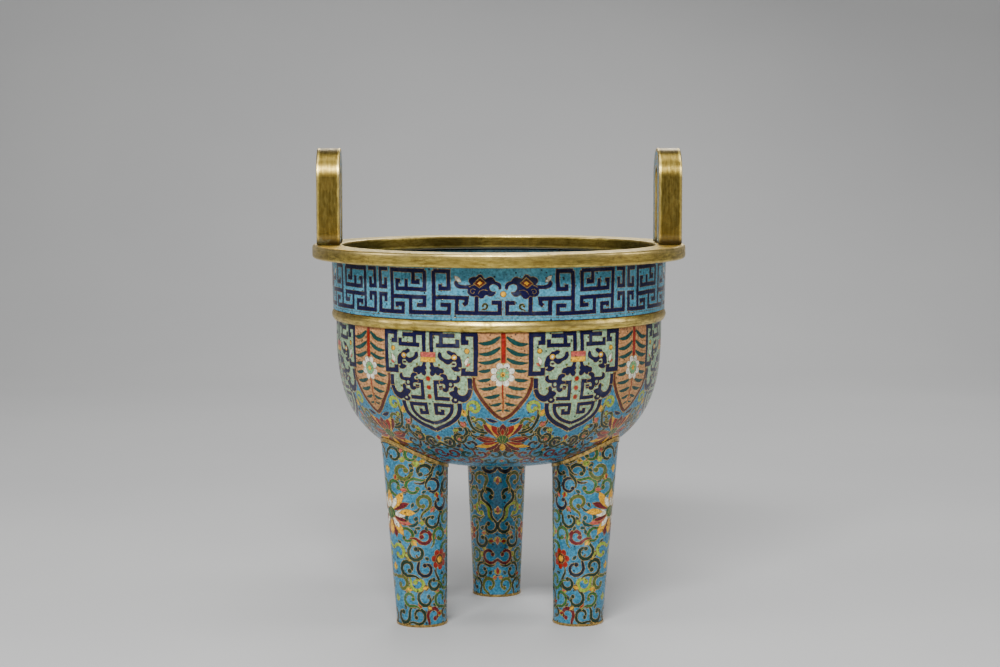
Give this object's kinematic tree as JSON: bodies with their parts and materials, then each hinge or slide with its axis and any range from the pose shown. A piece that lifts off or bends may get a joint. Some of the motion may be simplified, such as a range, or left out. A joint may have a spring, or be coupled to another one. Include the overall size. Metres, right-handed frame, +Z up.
{
  "type": "tripod censer",
  "caption": "Round tripod incense burner with upright loop handles on its rim, in gilt copper alloy with cloisonne enamel.",
  "frame": {"origin": "on the ground under the bowl's axis, level with the soles of the feet", "axes": "+Z up along the bowl's axis, -Y towards the front, between the two front legs, and +X to the right-hand handle"},
  "size_m": [0.2306, 0.2306, 0.291],
  "materials": {
    "enamel": "polished many-coloured cloisonne enamel on copper alloy, mostly turquoise, with thin gilt wires and small pits",
    "gilt": "worn, finely brushed gilding on copper alloy"
  },
  "bodies": {
    "root": {"bowl": "enamel", "mouth_rim": "gilt", "waist_band": "gilt", "handle_left": "gilt", "handle_right": "gilt", "leg_front_left": "enamel", "leg_front_right": "enamel", "leg_back": "enamel"}
  },
  "joints": []
}
